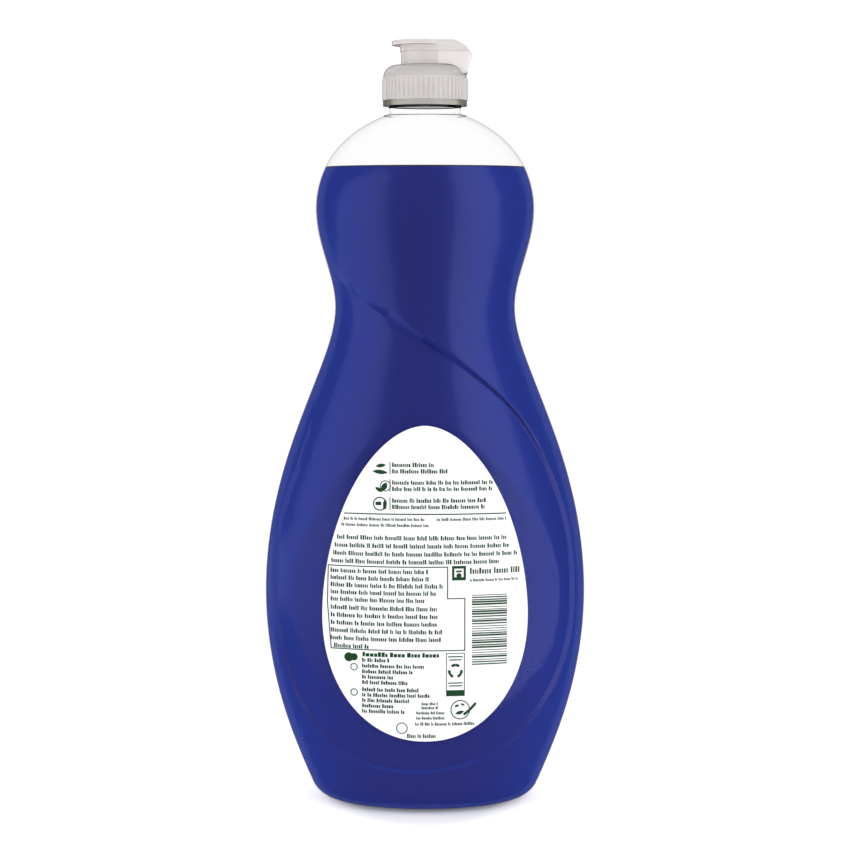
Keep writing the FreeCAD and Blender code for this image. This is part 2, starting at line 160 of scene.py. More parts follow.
def outline_at(z, values, slopes):
    """Value and slope of the stations' spline at heights z."""
    i = np.clip(np.searchsorted(HEIGHTS, z) - 1, 0, len(HEIGHTS) - 2)
    gap = HEIGHTS[i + 1] - HEIGHTS[i]
    share = (z - HEIGHTS[i]) / gap
    value, slope = cubic(values[i], values[i + 1], slopes[i] * gap, slopes[i + 1] * gap, share)
    return value, slope / gap


WIDTH_SLOPES = station_slopes(STATION[:, 0])
DEPTH_SLOPES = station_slopes(STATION[:, 1])


def half_sizes(z):
    """Half width, half depth and their slopes at heights z."""
    a, da = outline_at(z, STATION[:, 0], WIDTH_SLOPES)
    b, db = outline_at(z, STATION[:, 1], DEPTH_SLOPES)
    return a, b, da, db


def half_sizes_at(height):
    """The same four as plain numbers, for one height."""
    return [float(value[0]) for value in half_sizes(np.array([height]))]


def smooth_step(value):
    """An even rise from 0 to 1, level at both ends."""
    share = np.clip(value, 0, 1)
    return share * share * (3 - 2 * share)


def soft_positive(value, width):
    """The positive part of value, with its corner rounded over width."""
    middle = (value + width) ** 2 / (4 * width)
    return np.where(value < -width, 0, np.where(value > width, value, middle))


def closed_spline(points, step):
    """A closed smooth curve through rows of numbers, sampled about every step along its first two columns."""
    count = len(points)
    chord = np.hypot(*(np.roll(points, -1, 0) - points)[:, :2].T)
    matrix = np.zeros((count, count))
    right = np.zeros(points.shape)
    for i in range(count):
        before, after, following = chord[i - 1], chord[i], (i + 1) % count
        matrix[i, [i - 1, i, following]] = after, 2 * (before + after), before
        rise_in = (points[i] - points[i - 1]) / before
        rise_out = (points[following] - points[i]) / after
        right[i] = 3 * (after * rise_in + before * rise_out)
    slopes = np.linalg.solve(matrix, right)
    rows = []
    for i in range(count):
        following = (i + 1) % count
        start, end = slopes[i] * chord[i], slopes[following] * chord[i]
        for t in np.linspace(0, 1, max(2, round(chord[i] / step)), endpoint=False):
            rows.append(cubic(points[i], points[following], start, end, t)[0])
    return np.array(rows)


# ---- the swoosh and the recess inside it ----

CREST = closed_spline(np.array(SWOOSH), CREST_STEP)


def crest_distance(x, z):
    """How far points lie inside the swoosh's crest, seen from the front, and the slope's width there."""
    points = np.column_stack([x, z])
    start = CREST[:, :2]
    run = np.roll(CREST, -1, 0)[:, :2] - start
    length = (run ** 2).sum(1)
    distance = np.empty(len(points))
    width = np.empty(len(points))
    for first in range(0, len(points), POINTS_AT_ONCE):
        part = slice(first, first + POINTS_AT_ONCE)
        some = points[part, None]
        away = some - start
        share = np.clip((away * run).sum(2) / length, 0, 1)
        gap = np.hypot(*np.moveaxis(away - share[..., None] * run, 2, 0))
        nearest = gap.argmin(1)
        above = (start[:, 1] > some[..., 1]) != (start[:, 1] + run[:, 1] > some[..., 1])
        with np.errstate(divide="ignore", invalid="ignore"):
            crossing = start[:, 0] + (some[..., 1] - start[:, 1]) / run[:, 1] * run[:, 0]
        inside = (above & (some[..., 0] < crossing)).sum(1) % 2 == 1
        distance[part] = np.where(inside, 1, -1) * gap.min(1)
        width[part] = CREST[nearest, 2]
    return distance, width


def recess_share(phi, x, z):
    """0 on the outer surface, 1 in the recess, between them on the slope; it dies out at the -X seam.

    A wide slope starts gently and ends steep, and a fine groove runs along its foot."""
    distance, width = crest_distance(x, z)
    rounding = EDGE_ROUND / width
    straight = soft_positive(distance / width, rounding)
    curving = smooth_step((width - STRAIGHT_SLOPE_WIDTH) / 2)
    risen = straight + curving * (straight ** CURVED_SLOPE_POWER - straight)
    share = 1 - soft_positive(1 - risen, np.minimum(rounding, 0.12) + (1 - curving) * rounding / 2)
    groove = GROOVE_DEPTH * np.exp(-((distance - width - GROOVE_PLACE) / GROOVE_WIDTH) ** 2)
    return (share + groove * curving) * smooth_step((phi + math.pi / 2) / SEAM_FADE)


def panel_depth(x, z):
    """Half depth of the straight panel that carries the label."""
    middle = PANEL_LOW[1] + PANEL_SLOPE * (z - PANEL_LOW[0]) + soft_positive(z - PANEL_TOP, PANEL_TOP_BEND)
    return middle * np.sqrt(np.maximum(1 - (x / PANEL_HALF_WIDTH) ** 2, 0))


def front_surface(phi, z):
    """Points of the labelled half: phi runs from -90 degrees at -X through 0 at -Y to 90 at +X."""
    a, b = half_sizes(z)[:2]
    x, y = a * np.sin(phi), -b * np.cos(phi)
    low, high = SIDE_FADE
    side = RECESS + (RECESS_AT_SIDE - RECESS) * smooth_step((z - low) / (high - low))
    recess_x = (side - RECESS) / 2 + (a - (side + RECESS) / 2) * np.sin(phi)
    recess_y = (b - RECESS) * np.cos(phi)
    panel = panel_depth(recess_x, z)
    recess_y = -(recess_y - soft_positive(recess_y - panel, PANEL_BLEND))
    share = recess_share(phi, x, z)
    return np.column_stack([x + share * (recess_x - x), y + share * (recess_y - y), z])


def surface_normals(phi, z):
    """Outward normals, from points a small turn and a small rise to either side."""
    turn, rise = 0.0012, 0.05
    phi = np.clip(phi, turn - math.pi / 2, math.pi / 2 - turn)
    z = np.clip(z, HEIGHTS[0] + rise, HEIGHTS[-1] - rise)
    across = front_surface(phi + turn, z) - front_surface(phi - turn, z)
    up = front_surface(phi, z + rise) - front_surface(phi, z - rise)
    normals = np.cross(across, up)
    return normals / np.linalg.norm(normals, axis=1)[:, None]


# ---- the body's flattened half: phi across, v up along the side's outline; GIRTH makes phi a length ----

PROFILE_Z = np.linspace(0, NECK_BASE, 1200)
PROFILE_A = half_sizes(PROFILE_Z)[0]
PROFILE_V = np.concatenate([[0], np.cumsum(np.hypot(np.diff(PROFILE_Z), np.diff(PROFILE_A)))])
GIRTH = 46.0


def v_of(z):
    return np.interp(z, PROFILE_Z, PROFILE_V)


def z_of(v):
    return np.interp(v, PROFILE_V, PROFILE_Z)


def even_rows(low, high, step):
    return np.linspace(low, high, max(1, round((high - low) / step)) + 1)


COLUMNS = even_rows(-math.pi / 2, math.pi / 2, GRID / GIRTH)
ROWS = np.concatenate([
    even_rows(v_of(HEEL_RADIUS), v_of(FILL_HEIGHT), GRID),
    even_rows(v_of(FILL_HEIGHT), v_of(NECK_BASE), GRID)[1:],
])
STRIP_END = math.radians(87)


def strip_lines():
    """Lines of (x, z) along the swoosh: beside its crest, down its slope and beside the slope's foot."""
    curve = closed_spline(np.array(SWOOSH), STRIP_STEP)
    along = np.roll(curve, -1, 0)[:, :2] - np.roll(curve, 1, 0)[:, :2]
    along /= np.hypot(*along.T)[:, None]
    x, z, width = curve.T
    steps = [0 * width + rounds * EDGE_ROUND for rounds in (-1, 0, 1)]
    steps += [width * share for share in (0.4, 0.6, 0.74, 0.85)]
    steps += [width + rounds * EDGE_ROUND for rounds in (-1, 0, 1, 2)]
    turn = np.sign(np.sum(x * np.roll(z, -1) - np.roll(x, -1) * z))
    return [(x - turn * along[:, 1] * step, z + turn * along[:, 0] * step) for step in steps]


def flat_half():
    """Triangles over the flattened half: an even grid, with lines of closer points along the swoosh."""
    grid = np.array([(phi, z_of(v)) for v in ROWS for phi in COLUMNS])
    sizes = half_sizes(grid[:, 1])[0]
    distance, width = crest_distance(sizes * np.sin(grid[:, 0]), grid[:, 1])
    margin = EDGE_ROUND + STRIP_STEP / 2
    in_strip = (distance > -margin) & (distance < width + margin + EDGE_ROUND)
    seam = abs(abs(grid[:, 0]) - math.pi / 2) < 1e-6
    end_row = np.isin(grid[:, 1], (z_of(ROWS[0]), z_of(ROWS[-1])))
    fill_row = abs(grid[:, 1] - FILL_HEIGHT) < 1e-3
    points = list(grid[~in_strip | seam | end_row | fill_row])
    joins = []
    for x, z in strip_lines():
        share = x / half_sizes(np.clip(z, 0, NECK_BASE))[0]
        numbers = {}
        for i in np.flatnonzero(abs(share) < math.sin(STRIP_END)):
            numbers[i] = len(points)
            points.append((math.asin(share[i]), z[i]))
        count = len(x)
        joins += [(numbers[i], numbers[(i + 1) % count]) for i in numbers if (i + 1) % count in numbers]
    flat = [Vector((GIRTH * phi, float(v_of(z)))) for phi, z in points]
    made = delaunay_2d_cdt(flat, joins, [], 0, 1e-4)
    corners = np.array([tuple(point) for point in made[0]])
    return corners[:, 0] / GIRTH, z_of(corners[:, 1]), np.array([tuple(face) for face in made[2]])


# ---- mesh helpers ----

def make_object(name, points, faces):
    """A mesh object in the scene, from points in metres."""
    mesh = bpy.data.meshes.new(name)
    mesh.from_pydata(points, [], faces)
    made = bpy.data.objects.new(name, mesh)
    bpy.context.scene.collection.objects.link(made)
    return made


def make_piece(name, slot, mesh, *materials):
    """A smooth piece riding on the bottle, from points in millimetres, faces and perhaps normals."""
    points, faces, *normals = mesh
    piece = make_object(name, (np.asarray(points) * MM).tolist(), [list(face) for face in faces])
    piece.data.validate()
    piece.data.polygons.foreach_set("use_smooth", [True] * len(piece.data.polygons))
    if normals:
        piece.data.normals_split_custom_set_from_vertices(np.asarray(normals[0]).tolist())
    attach(piece, "bottle")
    paint(piece, *materials)
    return piece


def ring_strip(low, high):
    """Quads between two rings of equally many points, wound outwards where high is above low."""
    return list(zip(low, low[1:] + low[:1], high[1:] + high[:1], high))


def skin(sections, width, first=0, looped=False):
    """Quads between a row of sections of width points each, capped at both ends unless the row is a loop."""
    faces = []
    for step in range(sections if looped else sections - 1):
        low, high = first + step * width, first + (step + 1) % sections * width
        for corner in range(width):
            following = (corner + 1) % width
            faces.append((low + corner, high + corner, high + following, low + following))
    if not looped:
        faces.append(tuple(range(first, first + width)))
        faces.append(tuple(reversed(range(first + (sections - 1) * width, first + sections * width))))
    return faces


def ellipse_ring(angles, half_width, half_depth, z):
    """A level ring of points at angles from -Y towards +X."""
    level = np.full(len(angles), z)
    return np.column_stack([half_width * np.sin(angles), -half_depth * np.cos(angles), level])


class RingMesh:
    """A mesh of the body that grows by rings on an open edge; a normal of (0, 0, 0) is left to Blender."""

    def __init__(self, phi, z, faces, points, normals, top):
        """The labelled half and its copy turned half a turn, joined at their seams, open at heel and top."""
        left = {round(z[i], 3): i for i in np.flatnonzero(abs(phi + math.pi / 2) < 1e-4)}
        right = {round(z[i], 3): i for i in np.flatnonzero(abs(phi - math.pi / 2) < 1e-4)}
        number = np.arange(len(points)) + len(points)
        for seam, other in ((left, right), (right, left)):
            for height, i in seam.items():
                number[i] = other[height]
        turned = (-1, -1, 1)
        self.points = [tuple(point) for point in np.vstack([points, points * turned])]
        self.normals = [tuple(normal) for normal in np.vstack([normals, normals * turned])]
        self.faces = [tuple(face) for face in np.vstack([faces, number[faces]]).tolist()]
        rings = []
        for height in (HEEL_RADIUS, top):
            level = np.flatnonzero(abs(z - height) < 1e-4)
            front = level[np.argsort(phi[level])]
            rings.append([*front.tolist(), *number[front][1:-1].tolist()])
        self.heel, self.ring = rings

    def grow(self, ring_points, outwards=True):
        new = list(range(len(self.points), len(self.points) + len(ring_points)))
        self.points += [tuple(point) for point in ring_points]
        self.normals += [(0, 0, 0)] * len(new)
        self.faces += ring_strip(self.ring, new) if outwards else ring_strip(new, self.ring)
        self.ring = new

    def close(self, centre, outwards=True):
        tip = len(self.points)
        self.points.append(centre)
        self.normals.append((0, 0, 0))
        for pair in zip(self.ring, self.ring[1:] + self.ring[:1]):
            self.faces.append((*pair, tip) if outwards else (*pair[::-1], tip))

    def add_foot(self, inset):
        """Close the bottom from the heel inwards, on the outer face or one at an inset."""
        self.ring = self.heel
        for ring_points in foot_rings(inset):
            self.grow(ring_points, outwards=False)
        self.close((0, 0, PUSH_UP_RISE + inset), outwards=False)

    def drop_unused(self):
        """Leave out the points that no face uses."""
        used = sorted({corner for face in self.faces for corner in face})
        place = {old: new for new, old in enumerate(used)}
        self.points = [self.points[old] for old in used]
        self.normals = [self.normals[old] for old in used]
        self.faces = [tuple(place[corner] for corner in face) for face in self.faces]


# ---- the bottle's shell and its contents ----

BORE_RADIUS = NECK_RADIUS - NECK_WALL
BORE_BLEND = 7.0
LIP_ROUND = 0.4
LIP_EASE = 0.12
SURFACE_DROP = 0.62
INNER_ROWS = 56
# The liquid's surface, which rises at the wall: (share of the way out, depth below its edge)
WALL_RISE = ((0.985, 0.35), (0.965, 0.55), (0.93, SURFACE_DROP), (0.5, SURFACE_DROP))
SECTION = np.concatenate([COLUMNS, COLUMNS[1:-1] + math.pi])


def cavity_ring(z):
    """A ring of the shell's inner face: it follows the recess up to the waist and the plain body above."""
    a, b, da, db = half_sizes_at(z)
    above_waist = HEIGHTS[HEIGHTS > WAIST[2]][0]
    recess = RECESS * (1 - float(smooth_step((z - WAIST[2]) / (above_waist - WAIST[2]))))
    half_width = a - recess - WALL * math.hypot(1, da)
    half_depth = b - recess - WALL * math.hypot(1, db)
    neck = float(smooth_step((z - NECK_BASE + BORE_BLEND) / BORE_BLEND))
    half_width += (BORE_RADIUS - half_width) * neck
    half_depth += (BORE_RADIUS - half_depth) * neck
    ring = ellipse_ring(SECTION, half_width, half_depth, z)
    limit = panel_depth(ring[:, 0], np.full(len(ring), z)) - WALL
    ring[:, 1] -= np.sign(ring[:, 1]) * soft_positive(abs(ring[:, 1]) - limit, PANEL_BLEND)
    return ring


def heel_half(z, inset, side):
    """The foot's half width (side 0) or depth (side 1) at height z: down the flank, then round the heel."""
    lean = math.atan(half_sizes_at(HEEL_RADIUS / 2)[2 + side])
    radius = HEEL_RADIUS - inset
    if z > HEEL_RADIUS - radius * math.sin(lean):
        return half_sizes_at(z)[side] - inset / math.cos(lean)
    centre = half_sizes_at(HEEL_RADIUS * (1 - math.sin(lean)))[side] - HEEL_RADIUS * math.cos(lean)
    return centre + math.sqrt(max(radius ** 2 - (HEEL_RADIUS - z) ** 2, 0))


def foot_rings(inset):
    """Rings of the foot from the heel inwards, for the outer face or one at an inset: heel, ring, push-up."""
    rings = []
    for turn in np.linspace(0, math.pi / 2, HEEL_STEPS + 1)[1:]:
        height = HEEL_RADIUS - (HEEL_RADIUS - inset) * math.sin(turn)
        rings.append((heel_half(height, inset, 0), heel_half(height, inset, 1), height))
    half_width, half_depth = FOOT[:2]
    for share in (0, 0.25, 0.5, 0.75, 1):
        back = HEEL_RADIUS + CONTACT_RING_WIDTH - inset + PUSH_UP_SLOPE_WIDTH * share
        rise = PUSH_UP_RISE * float(smooth_step(share))
        rings.append((half_width - back, half_depth - back, inset + rise))
    return [ellipse_ring(SECTION, *ring) for ring in rings]


def shell(phi, z, faces):
    """The clear shell: outer face, neck, lip, bore, inner face, and the foot closed on both faces."""
    made = RingMesh(phi, z, faces, front_surface(phi, z), surface_normals(phi, z), NECK_BASE)
    outside = [(NECK_RADIUS, NECK_BASE + 0.15), (NECK_RADIUS, NECK_BASE + 0.6)]
    outside += [(NECK_RADIUS, height) for height in np.linspace(NECK_BASE + 3, LIP - LIP_ROUND, 4)]
    outside += [(NECK_RADIUS - LIP_EASE, LIP - LIP_EASE), (NECK_RADIUS - LIP_ROUND, LIP)]
    outside.append((BORE_RADIUS + LIP_ROUND, LIP))
    bore = [(BORE_RADIUS + LIP_EASE, LIP - LIP_EASE), (BORE_RADIUS, LIP - LIP_ROUND)]
    bore += [(BORE_RADIUS, height) for height in np.linspace(LIP - 3, NECK_BASE, 5)]
    for radius, height in outside:
        made.grow(ellipse_ring(SECTION, radius, radius, height))
    first_inner = len(made.faces)
    for radius, height in bore:
        made.grow(ellipse_ring(SECTION, radius, radius, height))
    for height in z_of(np.linspace(v_of(NECK_BASE), v_of(HEEL_RADIUS), INNER_ROWS))[1:]:
        made.grow(cavity_ring(height))
    for ring_points in foot_rings(WALL):
        made.grow(ring_points)
    made.close((0, 0, PUSH_UP_RISE + WALL))
    made.inner = slice(first_inner, len(made.faces))
    made.add_foot(0)
    return made


def contents(phi, z, faces):
    """The liquid: the outer face moved into the wall, cut level, with a low rise where it meets the wall."""
    low = np.array([face for face in faces if z[face].max() < FILL_HEIGHT + 1e-3])
    normals = surface_normals(phi, z)
    points = front_surface(phi, z) - LIQUID_INSET * normals
    points[:, 2] = z
    made = RingMesh(phi, z, low, points, normals, FILL_HEIGHT)
    edge = np.array([made.points[i] for i in made.ring])
    for share, drop in WALL_RISE:
        made.grow(edge * (share, share, 1) - (0, 0, drop))
    made.close((0, 0, FILL_HEIGHT - SURFACE_DROP))
    made.add_foot(LIQUID_INSET)
    made.drop_unused()
    return made


# ---- the label and its print ----

LABEL_OUTER = 0.19
LABEL_INNER = 0.09
PRINT_OUTER = 0.225
PRINT_INNER = 0.17
LABEL_EDGE_COUNT = 132
LABEL_GRID = 3.0
LABEL_GRID_REACH = 0.88


def on_panel(x, z, lift):
    """Points lifted off the panel's straight face."""
    return np.column_stack([x, -panel_depth(x, z) - lift, z])


def panel_normals(x, z):
    side = x / PANEL_HALF_WIDTH ** 2 * PANEL_LOW[1] ** 2 / panel_depth(x, z)
    normals = np.column_stack([side, -np.ones(len(x)), np.full(len(x), PANEL_SLOPE)])
    return normals / np.linalg.norm(normals, axis=1)[:, None]


def egg_outline():
    """Points of the label's edge; a fullness of 2 would make an ellipse."""
    points = []
    for step in range(LABEL_EDGE_COUNT):
        angle = 2 * math.pi * step / LABEL_EDGE_COUNT
        across, up = math.cos(angle), math.sin(angle)
        power = 2 / (LABEL_TOP_FULLNESS if up >= 0 else LABEL_FOOT_FULLNESS)
        reach = LABEL_RISE if up >= 0 else LABEL_DROP
        x = LABEL_HALF_WIDTH * math.copysign(abs(across) ** power, across)
        points.append((x, LABEL_WIDEST_HEIGHT + reach * math.copysign(abs(up) ** power, up)))
    return points


def slab(edge, inner_points, outer, inner):
    """A thin closed patch on the panel, from its edge polygon and loose points inside it."""
    flat = [Vector(point) for point in edge + inner_points]
    made = delaunay_2d_cdt(flat, [], [list(range(len(edge)))], 1, 1e-5)
    x, z = np.array([tuple(point) for point in made[0]]).T
    faces = [tuple(face) for face in made[2]]
    total = len(x)
    points = np.vstack([on_panel(x, z, outer), on_panel(x, z, inner)])
    normals = np.vstack([panel_normals(x, z), -panel_normals(x, z)])
    back = [tuple(corner + total for corner in face[::-1]) for face in faces]
    sides = dict.fromkeys((face[i - 1], face[i]) for face in faces for i in (1, 2, 0))
    rim = [(b, a, a + total, b + total) for a, b in sides if (b, a) not in sides]
    return points, faces + back + rim, normals


def label():
    """The label: its edge and an even grid of points well inside it."""
    low, high = LABEL_WIDEST_HEIGHT - LABEL_DROP, LABEL_WIDEST_HEIGHT + LABEL_RISE
    inside = []
    for z in np.arange(low + LABEL_GRID, high, LABEL_GRID):
        for x in np.arange(-LABEL_HALF_WIDTH, LABEL_HALF_WIDTH, LABEL_GRID):
            reach = LABEL_RISE if z > LABEL_WIDEST_HEIGHT else LABEL_DROP
            size = (x / LABEL_HALF_WIDTH) ** 2 + ((z - LABEL_WIDEST_HEIGHT) / reach) ** 2
            if size < LABEL_GRID_REACH:
                inside.append((float(x), float(z)))
    return slab(egg_outline(), inside, LABEL_OUTER, LABEL_INNER)


def bar(x_low, x_high, z_low, z_high):
    """The outline of an upright printed block, with enough corners to follow the panel's curve."""
    count = max(1, math.ceil((x_high - x_low) / 4))
    across = [float(value) for value in np.linspace(x_low, x_high, count + 1)]
    return [(x, z_low) for x in across] + [(x, z_high) for x in reversed(across)]


def arc(x, z, radius, angles):
    """Points on a circle."""
    return [(x + radius * math.cos(angle), z + radius * math.sin(angle)) for angle in angles]


def disc(x, z, radius, count=28):
    return arc(x, z, radius, [2 * math.pi * step / count for step in range(count)])


def ring_marks(x, z, radius, width):
    """A printed ring as a chain of short blocks."""
    outer, inner = disc(x, z, radius), disc(x, z, radius - width)
    return [[outer[i - 1], outer[i], inner[i], inner[i - 1]] for i in [*range(1, len(outer)), 0]]


SMALL_LETTER = 0.72
TALL_SHARE = 0.22
LETTER_GAP = 0.15
WORD_GAP = 0.36


def text_line(x_low, x_high, z, height, weight, dice):
    """Blank text: words of upright ticks of one or two heights, standing on a line centred on height z."""
    marks = []
    x = x_low
    foot = z - height / 2
    while x < x_high - height / 2:
        for letter in range(dice.integers(2, 10)):
            width = height * weight * dice.uniform(0.9, 1.6)
            if x + width > x_high:
                break
            rise = height * (1.0 if letter == 0 or dice.random() < TALL_SHARE else SMALL_LETTER)
            marks.append(bar(x, x + width, foot, foot + rise))
            x += width + height * LETTER_GAP
        x += height * WORD_GAP
    return marks


# How far the whole print stands above the heights below
PRINT_SHIFT = 0.75

# Rows of blank text by size and weight of letter: (x low, x high, height of the top line), and for several
# lines their lowest height and number as well
TEXT_BLOCKS = (
    (1.5, 0.26, ((-11.3, 3.4, 123.2), (-11.3, 8.2, 121.0))),
    (1.45, 0.26, ((-11.3, 23.4, 117.1), (-11.3, 23.4, 114.9))),
    (1.5, 0.26, ((-11.3, 21.3, 110.9), (-11.3, 21.3, 108.7))),
    (1.1, 0.22, ((-28.0, 0.0, 104.4), (-28.8, 1.7, 102.3), (4.0, 28.3, 104.4))),
    (1.55, 0.24, (
        (-30.4, 28.4, 97.9), (-31.2, 29.4, 95.1), (-31.8, 32.4, 92.3), (-32.4, 25.6, 89.6),
        (-32.7, 6.4, 86.2, 76.2, 5), (-32.7, 12.4, 73.3, 62.6, 5), (-31.6, -19.0, 59.9),
    )),
    (2.1, 0.2, ((15.5, 33.0, 86.4),)),
    (0.95, 0.24, ((15.5, 32.2, 83.2),)),
    (1.6, 0.5, ((-21.6, 5.6, 57.2),)),
    (1.35, 0.3, (
        (-21.8, -12.0, 55.2), (-21.8, 0.3, 53.2), (-21.8, -4.0, 51.2), (-21.8, -11.0, 49.3),
        (-21.8, -6.0, 47.4), (-21.8, -1.5, 44.9), (-21.8, 2.2, 43.0), (-21.8, -4.6, 41.1),
        (-21.8, -11.0, 39.2), (-21.8, -7.0, 37.3),
    )),
    (1.0, 0.28, ((-1.2, 4.6, 40.2), (-1.2, 4.6, 38.8), (-3.0, 6.8, 37.0), (-3.0, 6.8, 35.2))),
    (1.1, 0.26, ((-3.4, 17.2, 33.1),)),
    (1.4, 0.26, ((-6.2, 4.2, 28.9),)),
)

# Ruled lines, thin frames and small blocks: (x low, x high, height low, height high)
BLOCKS = (
    (-27.9, 27.9, 105.95, 106.35), (-12.15, -11.85, 119.9, 124.2), (-12.15, -11.85, 113.8, 118.2),
    (-12.15, -11.85, 107.6, 112.0), (-33.5, 7.9, 87.65, 88.0), (7.6, 7.95, 76.7, 88.0),
    (7.7, 13.9, 76.7, 77.05), (13.55, 13.9, 58.6, 77.05), (-32.6, 13.9, 58.6, 58.95),
    (7.3, 7.55, 42.8, 57.9), (13.5, 13.75, 42.8, 57.9), (7.3, 13.75, 57.65, 57.9),
    (-14.4, -13.3, 107.9, 110.4), (-14.1, -13.6, 110.4, 111.3), (-17.0, -15.0, 109.2, 110.4),
    (9.3, 14.1, 87.3, 88.2), (9.3, 14.1, 83.2, 84.3), (9.3, 10.1, 84.3, 87.3), (13.3, 14.1, 84.3, 87.3),
    (10.7, 12.7, 86.0, 86.6), (7.3, 13.75, 42.8, 44.9), (8.3, 12.8, 46.2, 46.6), (8.0, 13.0, 47.2, 47.6),
    (8.0, 13.0, 56.4, 56.8), (8.4, 12.6, 55.3, 55.7),
)

# Small plain signs: leaves as (x, height, length, width, turn), rings as (x, height, radius, width), dots as
# (x, height, radius, corners), and three bent bars on a circle, with their turns and half bend
LEAVES = (
    (-15.2, 122.9, 3.6, 1.3, 8), (-15.4, 120.7, 5.4, 1.5, -6), (-14.0, 115.6, 3.4, 1.9, 62),
    (-15.8, 114.6, 3.0, 1.3, -30), (11.0, 39.4, 1.8, 0.8, 20), (13.0, 39.8, 1.6, 0.7, -25),
    (12.0, 37.0, 3.2, 1.2, 15),
)
RINGS = (
    (-13.6, 115.9, 1.9, 0.3), (-15.5, 109.7, 2.4, 0.4), (-24.6, 52.6, 1.3, 0.32), (-24.6, 43.7, 1.3, 0.32),
    (-8.0, 31.6, 2.0, 0.32), (12.2, 38.0, 3.4, 0.35),
)
DOTS = ((11.7, 84.8, 0.9, 16), (-26.4, 56.0, 1.6, 20), (-24.6, 56.1, 1.3, 20))
BENT_BARS = ((10.5, 51.6, 2.2), (90, 210, 330), 38)
HAND = ((13.4, 36.2), (15.6, 38.0), (17.6, 40.2))
SIGN_WEIGHT = 0.9
BOX_SIDE = ((-33.5, 88.0), (-33.85, 75.0), (-32.6, 58.6))
RULE_WEIGHT = 0.35

# The block of level stripes: its two corners as (x, height), and how much of its pitch a stripe may fill
STRIPES_LOW, STRIPES_HIGH = (16.2, 53.6), (28.4, 78.6)
STRIPE_COUNT = 30
STRIPE_FILLS = (0.3, 0.5, 0.72)


def leaf(x, z, length, width, turn, count=9):
    """A lens-shaped mark, turned anticlockwise from level."""
    turn = math.radians(turn)
    points = []
    for side in (1, -1):
        for step in range(count):
            share = step / count
            along = (share - 0.5) * side * length
            across = -side * width * 2 * share * (1 - share)
            points.append((
                x + along * math.cos(turn) - across * math.sin(turn),
                z + along * math.sin(turn) + across * math.cos(turn),
            ))
    return points


def stroke(points, width):
    """A bent line as a chain of blocks."""
    marks = []
    for (x, z), (next_x, next_z) in zip(points, points[1:]):
        length = math.hypot(next_x - x, next_z - z)
        out_x, out_z = (next_z - z) / length * width / 2, -(next_x - x) / length * width / 2
        marks.append([
            (x + out_x, z + out_z), (next_x + out_x, next_z + out_z),
            (next_x - out_x, next_z - out_z), (x - out_x, z - out_z),
        ])
    return marks


def print_marks():
    """Every dark mark on the label, as polygons of (x, height)."""
    dice = np.random.default_rng(7)
    marks = []
    for size, weight, rows in TEXT_BLOCKS:
        for x_low, x_high, top, *more in rows:
            low, lines = more or (top, 1)
            for z in np.linspace(top, low, lines):
                end = x_high - dice.uniform(0, 0.2) * (x_high - x_low) if more else x_high
                marks += text_line(x_low, end, z, size, weight, dice)
    marks += stroke(BOX_SIDE, RULE_WEIGHT)
    pitch = (STRIPES_HIGH[1] - STRIPES_LOW[1]) / STRIPE_COUNT
    for stripe in range(STRIPE_COUNT):
        z = STRIPES_LOW[1] + stripe * pitch
        marks.append(bar(STRIPES_LOW[0], STRIPES_HIGH[0], z, z + pitch * dice.choice(STRIPE_FILLS)))
    marks += [bar(*row) for row in BLOCKS] + [leaf(*row) for row in LEAVES] + [disc(*row) for row in DOTS]
    for row in RINGS:
        marks += ring_marks(*row)
    circle, turns, half_bend = BENT_BARS
    for turn in turns:
        bend = arc(*circle, np.radians((turn - half_bend, turn, turn + half_bend)))
        marks += stroke(bend, SIGN_WEIGHT)
    marks += stroke(HAND, SIGN_WEIGHT)
    return [[(float(x), float(z) + PRINT_SHIFT) for x, z in mark] for mark in marks]


def label_print():
    """All the marks as one mesh of thin closed patches."""
    points, faces, normals = [], [], []
    for mark in print_marks():
        some, some_faces, some_normals = slab(mark, [], PRINT_OUTER, PRINT_INNER)
        faces += [tuple(corner + len(points) for corner in face) for face in some_faces]
        points += some.tolist()
        normals += some_normals.tolist()
    return points, faces, normals


# ---- screw thread and hinge web ----

THREAD_LEAD = 12.7
THREAD_STARTS = 2
THREAD_RISE = 0.95
THREAD_LOW = NECK_BASE + 4.4
THREAD_TURNS = 0.62
THREAD_START_ANGLE = 2.515
THREAD_STEPS = 90
THREAD_FADE = 1 / 9
THREAD_PROFILE = ((-0.25, -1.15), (0.0, -1.0), (1.0, -0.3), (1.0, 0.3), (0.0, 1.0), (-0.25, 1.15))


def thread():
    """Right-hand helical ridges round the neck, faded out at both ends."""
    points, faces = [], []
    for start in range(THREAD_STARTS):
        first = len(points)
        for step in range(THREAD_STEPS + 1):
            share = step / THREAD_STEPS
            angle = 2 * math.pi * (THREAD_TURNS * share + start / THREAD_STARTS) + THREAD_START_ANGLE
            fade = float(smooth_step(min(share, 1 - share) / THREAD_FADE))
            for out, up in THREAD_PROFILE:
                radius = NECK_RADIUS + (out * THREAD_RISE * fade if out > 0 else out)
                z = THREAD_LOW + THREAD_LEAD * THREAD_TURNS * share + up * (0.35 + 0.65 * fade)
                points.append((radius * math.cos(angle), radius * math.sin(angle), z))
        faces += skin(THREAD_STEPS + 1, len(THREAD_PROFILE), first)
    return points, faces


BEAD_HEIGHT = 246.95
BEAD_RISE = 0.35
BEAD_HALF_HEIGHT = 0.5
BEAD_REACH = (88, 115)
BEAD_LEAST = 0.35
CREASE_HEIGHT = 243.8
CREASE_RISE = 0.12
CREASE_REACH = (122, 130)
CREASE_LEAST = 0.05
RIDGE_STEPS = 120


